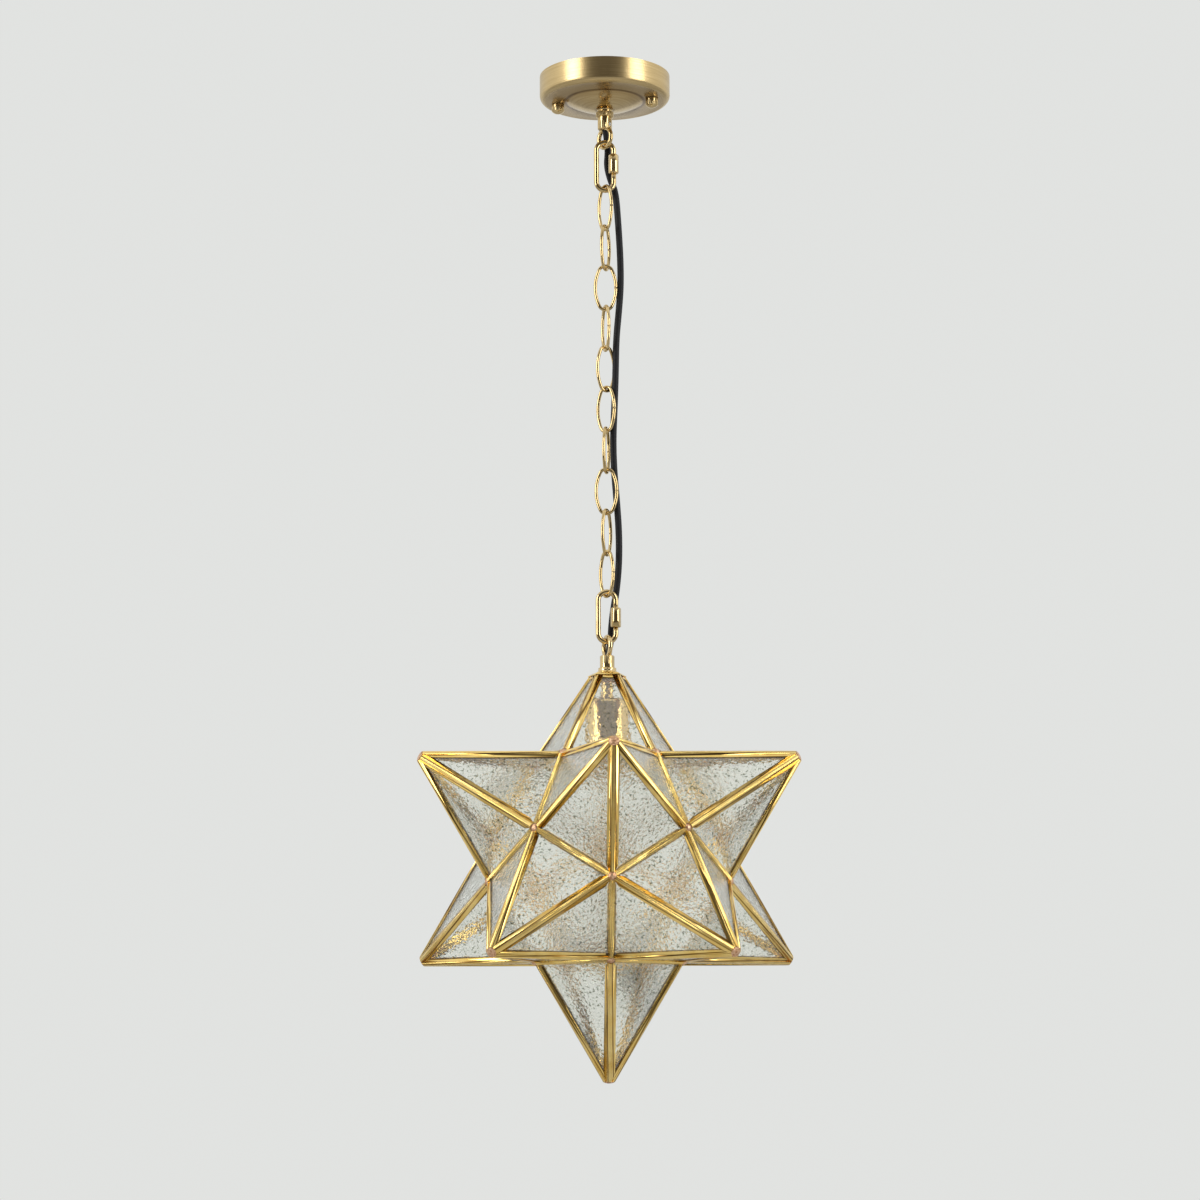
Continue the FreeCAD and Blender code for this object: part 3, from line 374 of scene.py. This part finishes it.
# %% [markdown]
# ### Seeded glass
# Each pane is rolled glass: its outer face carries small lumps from the roller and seeds, which
# are tiny bubbles, and its inner face is nearly flat. Real relief on sixty panes would be
# millions of triangles, so it is a bump: a noise for the lumps, and the cells of a Voronoi
# pattern for the seeds. The colour is the glass's own slightly green one, and a finer noise paints
# dark and pale flecks on it: painted refraction of dim and bright surroundings through the lumps.
# A little less than full transmission keeps the pale, slightly milky look.

# %% Seeded glass
# the glass's own colour, with dark and pale stops that paint refraction flecks
TINT_AND_REFRACTION_STOPS = [(0.28, (0.13, 0.14, 0.09)), (0.37, (0.60, 0.64, 0.54)), (0.43, (0.985, 1.0, 0.93)),
               (0.70, (1.0, 1.0, 0.96))]
GLASS_IOR = 1.45


def lumps_and_seeds(nodes, links, coords):
    """The height of the rolled face: noise lumps plus half the distance to a seed."""
    lumps = noise_on(nodes, links, coords, 300.0, 2.0)
    lumps.inputs["Distortion"].default_value = 0.4
    seeds = nodes.new("ShaderNodeTexVoronoi")
    seeds.inputs["Scale"].default_value = 260.0
    links.new(coords, seeds.inputs["Vector"])
    both = nodes.new("ShaderNodeMath")
    both.operation = "MULTIPLY_ADD"
    both.inputs[1].default_value = 0.5
    links.new(seeds.outputs["Distance"], both.inputs[0])
    links.new(lumps.outputs["Fac"], both.inputs[2])
    return both.outputs["Value"]


def seeded_glass():
    """The rolled outer face of a pane."""
    material, nodes, links, shader = new_material("seeded_glass")
    coords = nodes.new("ShaderNodeTexCoord").outputs["Object"]
    relief = bump(nodes, links, lumps_and_seeds(nodes, links, coords), 0.45, 0.0012)
    links.new(relief.outputs["Normal"], shader.inputs["Normal"])
    flecks = noise_on(nodes, links, coords, 420.0, 1.0)
    flecks.inputs["Distortion"].default_value = 0.3
    # painted refraction: dark and pale flecks stand in for the surroundings seen through the lumps
    tint_and_refraction = ramp(nodes, links, flecks.outputs["Fac"], TINT_AND_REFRACTION_STOPS)
    links.new(tint_and_refraction.outputs["Color"], shader.inputs["Base Color"])
    shader.inputs["Transmission Weight"].default_value = 0.88
    shader.inputs["Roughness"].default_value = 0.05
    shader.inputs["IOR"].default_value = GLASS_IOR
    return material


# %% Inner face of the glass
def smooth_glass():
    """The inner face, as flat as window glass."""
    material, nodes, links, shader = new_material("smooth_glass")
    coords = nodes.new("ShaderNodeTexCoord").outputs["Object"]
    wave = noise_on(nodes, links, coords, 40.0, 1.0)
    relief = bump(nodes, links, wave.outputs["Fac"], 0.2, 0.001)
    links.new(relief.outputs["Normal"], shader.inputs["Normal"])
    shader.inputs["Base Color"].default_value = (0.995, 1.0, 0.99, 1.0)
    shader.inputs["Transmission Weight"].default_value = 1.0
    shader.inputs["Roughness"].default_value = 0.0
    shader.inputs["IOR"].default_value = GLASS_IOR
    return material


pane_glass = seeded_glass()
inner_glass = smooth_glass()
print(pane_glass.name, "outside,", inner_glass.name, "inside")

# %% [markdown]
# ### Solder and the plain finishes
# Solder cools in small knobbly drops with a coppery skin, so its bump is deep and its tone
# swings from dark copper to pale tin. Zinc steel, porcelain, green paint and the cord's rubber
# differ only in colour, grain, gloss and metal, so one recipe makes them all.


# %% Solder
def solder_metal():
    """Knobbly copper-coloured solder."""
    material, nodes, links, shader = new_material("solder_metal")
    coords = nodes.new("ShaderNodeTexCoord").outputs["Object"]
    lumps = noise_on(nodes, links, coords, 500.0, 3.0)
    tone = ramp(nodes, links, lumps.outputs["Fac"], [(0.35, (0.50, 0.24, 0.12)), (0.65, (0.88, 0.60, 0.38))])
    links.new(tone.outputs["Color"], shader.inputs["Base Color"])
    relief = bump(nodes, links, lumps.outputs["Fac"], 0.8, 0.0012)
    links.new(relief.outputs["Normal"], shader.inputs["Normal"])
    shader.inputs["Metallic"].default_value = 1.0
    shader.inputs["Roughness"].default_value = 0.28
    return material


# %% Plain finishes
def plain_finish(name, low, high, scale, rough, metal=0.0, relief=0.1):
    """A fine grain between two tones."""
    material, nodes, links, shader = new_material(name)
    coords = nodes.new("ShaderNodeTexCoord").outputs["Object"]
    grain = noise_on(nodes, links, coords, scale, 4.0)
    tone = ramp(nodes, links, grain.outputs["Fac"], [(0.3, low), (0.7, high)])
    links.new(tone.outputs["Color"], shader.inputs["Base Color"])
    surface = bump(nodes, links, grain.outputs["Fac"], relief, 0.0004)
    links.new(surface.outputs["Normal"], shader.inputs["Normal"])
    shader.inputs["Metallic"].default_value = metal
    shader.inputs["Roughness"].default_value = rough
    return material


solder = solder_metal()
zinc_steel = plain_finish("zinc_steel", (0.48, 0.48, 0.47), (0.62, 0.62, 0.60), 300.0, 0.34, metal=1.0)
porcelain = plain_finish("porcelain", (0.78, 0.76, 0.70), (0.86, 0.84, 0.79), 80.0, 0.22, relief=0.03)
earth_green = plain_finish("earth_green", (0.05, 0.22, 0.08), (0.08, 0.30, 0.11), 200.0, 0.35)
cord_black = plain_finish("cord_black", (0.006, 0.006, 0.007), (0.014, 0.014, 0.016), 900.0, 0.55)
cord_black.node_tree.nodes["Principled BSDF"].inputs["Specular IOR Level"].default_value = 0.25
print(len(bpy.data.materials), "materials")

# %% [markdown]
# ### Which finish goes where
# The record names a material slot for each node. Four groups need a finer choice than the slot
# gives: ridge cames, the rest of the cage, the lampholder's brass, and everything else.

# %% Choose the finishes
finishes = {"brass_satin": canopy_brass, "brass_polished": chain_brass, "steel": zinc_steel,
            "green_screw": earth_green, "glass": pane_glass, "solder": solder,
            "cord_black": cord_black, "porcelain": porcelain}
ridge_came_nodes = ["top_ridge_cames", "upper_ridge_cames", "lower_ridge_cames", "door_ridge_cames"]
cage_nodes = ["cap_plate", "top_ring_cames", "top_rails", "opening_frame", "hinge_pin",
              "valley_cames", "door_rim", "turn_button"]
lampholder_nodes = ["socket_cup", "socket_neck", "screw_shell", "centre_contact"]


def finish_for(node):
    """The material of a frame node."""
    if node in ridge_came_nodes:
        return came_brass
    if node in cage_nodes:
        return cage_brass
    if node in lampholder_nodes:
        return cup_brass
    return finishes[slot_of[node]]


for tube in cord_tubes:
    tube.data.materials.append(cord_black)
print(len(finishes), "slots;", len(cord_tubes), "lengths of cord are black")

# %% [markdown]
# ## Dressing the pieces
# Most pieces are rigid and already have their true shape in the frame. Modelling them again
# would only add faults, so each gets a copy of its mesh with the doubled corners merged: round
# faces then shade smooth and real edges stay crisp. The copy rides on the body of the piece
# that it stands for.
#
# A node of cames holds several separate solids. To find the middle line of each, points joined
# by edges are gathered, the two that lie furthest apart give the came's direction, and the
# distance from it is measured sideways, square to the line from the star's centre.

# %% Mark the ridge cames
STAR_CENTRE = Vector((0.0, 0.0, -0.7527))
CAME_REACH = 0.0065             # a came's half width, where "across" reaches one


def islands(mesh):
    """The points of a mesh, gathered by the piece that they belong to."""
    parent = list(range(len(mesh.vertices)))

    def root(k):
        while parent[k] != k:
            parent[k] = parent[parent[k]]
            k = parent[k]
        return k

    for edge in mesh.edges:
        a, b = root(edge.vertices[0]), root(edge.vertices[1])
        parent[a] = b
    gathered = {}
    for vertex in mesh.vertices:
        gathered.setdefault(root(vertex.index), []).append(vertex)
    return list(gathered.values())


def mark_across(piece):
    """Give every point its distance from its own came's middle line, as a share of CAME_REACH."""
    cames = islands(piece.data)
    field = piece.data.attributes.new("across", "FLOAT", "POINT")
    for points in cames:
        middle = sum((v.co for v in points), Vector()) / len(points)
        far = max(points, key=lambda v: (v.co - middle).length).co
        other = max(points, key=lambda v: (v.co - far).length).co
        run = (far - other).normalized()
        out = middle - STAR_CENTRE
        side = run.cross(out - run * out.dot(run)).normalized()
        spread = [(v.co - middle).dot(side) for v in points]
        centre = 0.5 * (max(spread) + min(spread))
        for v, reach in zip(points, spread):
            field.data[v.index].value = min(abs(reach - centre) / CAME_REACH, 1.0)
    return len(cames)


# %% [markdown]
# A pane's faces are sorted by their normal: those that look towards the star's centre are the
# flat inner face, and the others are the rolled one.


# %% Dress a frame piece
SMOOTH_ANGLE = 35.0


def copy_of(node):
    """A merged, smooth-shaded copy of a frame node's mesh, with its place in the mesh."""
    source = frame["nodes"][node]
    piece = bpy.data.objects.new(node + "_dressed", source.data.copy())
    bpy.context.scene.collection.objects.link(piece)
    piece.data.transform(source.matrix_world)
    select_only(piece)
    bpy.ops.object.mode_set(mode="EDIT")
    bpy.ops.mesh.select_all(action="SELECT")
    bpy.ops.mesh.remove_doubles(threshold=2e-6)
    bpy.ops.object.mode_set(mode="OBJECT")
    bpy.ops.object.shade_smooth_by_angle(angle=math.radians(SMOOTH_ANGLE))
    piece.data.materials.clear()
    return piece


def dress(node):
    """The finished piece that stands for a frame node."""
    piece = copy_of(node)
    piece.data.materials.append(finish_for(node))
    if node in ridge_came_nodes:
        print(node, mark_across(piece), "cames")
    if slot_of[node] == "glass":
        piece.data.materials.append(inner_glass)
        for face in piece.data.polygons:
            face.material_index = 1 if face.normal.dot(face.center - STAR_CENTRE) < 0.0 else 0
    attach(piece, body_of[node])
    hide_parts(node)
    return piece


dressed = [dress(node) for node in body_of if node != "supply_cord"]
triangles = sum(len(piece.data.polygons) for piece in dressed)
print(len(dressed), "pieces dressed,", triangles, "triangles")

# %% [markdown]
# ## Room and light
# The floor is plain and pale and lies far below the lamp. Two large soft lamps stand at the
# sides, in front of the star, and give the sloping cames their long highlights.

# %% Floor
FLOOR_Z = -2.35
bpy.ops.mesh.primitive_plane_add(size=14.0, location=(0.0, 0.0, FLOOR_Z))
floor = bpy.context.object
floor.name = "floor"
floor_paint, nodes, links, shader = new_material("floor_paint")
shader.inputs["Base Color"].default_value = (0.52, 0.52, 0.52, 1.0)
shader.inputs["Roughness"].default_value = 0.8
floor.data.materials.append(floor_paint)
print("floor at", FLOOR_Z)


# %% Two soft lamps
LAMP_AIM = (0.0, 0.0, -0.6)
LAMP_WIDTH = 1.2
LAMP_HEIGHT = 2.2


def soft_lamp(name, place, power):
    """A large area lamp that faces the lamp's middle."""
    data = bpy.data.lights.new(name, "AREA")
    data.shape = "RECTANGLE"
    data.size = LAMP_WIDTH
    data.size_y = LAMP_HEIGHT
    data.energy = power
    lamp = bpy.data.objects.new(name, data)
    bpy.context.scene.collection.objects.link(lamp)
    lamp.location = place
    lamp.rotation_euler = (Vector(LAMP_AIM) - Vector(place)).to_track_quat("-Z", "Y").to_euler()
    return lamp


lamps = [soft_lamp("lamp_left", (-2.4, -1.6, 0.4), 44.0),
         soft_lamp("lamp_right", (2.4, -1.6, 0.2), 38.0)]
print([lamp.name for lamp in lamps])

# %% [markdown]
# ### Sky
# Polished metal is only as good as what it reflects. In a studio the pale wall stands behind
# the lamp and the room behind the photographer is dim. One world does both: its shade follows
# the direction along Y, from dim in front to bright at the sides and to the wall's pale grey
# behind, and it turns bright again overhead. Every kind of ray sees the same sky, so glass and
# metal show the background that the camera sees.

# %% Sky
SKY_STOPS = [(0.0, (0.11, 0.10, 0.09)), (0.16, (0.12, 0.11, 0.10)), (0.27, (0.45, 0.44, 0.43)),
             (0.40, (0.96, 0.96, 0.95)), (0.80, (0.90, 0.90, 0.89)), (0.92, (0.755, 0.765, 0.75))]
OVERHEAD = (0.92, 0.92, 0.92, 1.0)


def share(nodes, links, source, low, high):
    """How far a value is between low and high, from 0 to 1."""
    node = nodes.new("ShaderNodeMapRange")
    node.inputs["From Min"].default_value = low
    node.inputs["From Max"].default_value = high
    links.new(source, node.inputs["Value"])
    return node.outputs["Result"]


world = bpy.data.worlds.new("studio")
bpy.context.scene.world = world
world.use_nodes = True
nodes = world.node_tree.nodes
links = world.node_tree.links
direction = nodes.new("ShaderNodeSeparateXYZ")
links.new(nodes.new("ShaderNodeTexCoord").outputs["Generated"], direction.inputs["Vector"])
around = ramp(nodes, links, share(nodes, links, direction.outputs["Y"], -1.0, 1.0), SKY_STOPS)
sky_color = nodes.new("ShaderNodeMixRGB")
links.new(share(nodes, links, direction.outputs["Z"], 0.55, 0.80), sky_color.inputs["Fac"])
links.new(around.outputs["Color"], sky_color.inputs["Color1"])
sky_color.inputs["Color2"].default_value = OVERHEAD
sky = nodes["Background"]
links.new(sky_color.outputs["Color"], sky.inputs["Color"])
sky.inputs["Strength"].default_value = 1.0
bpy.context.scene.view_settings.view_transform = "Standard"
print("sky with", len(SKY_STOPS), "shades")
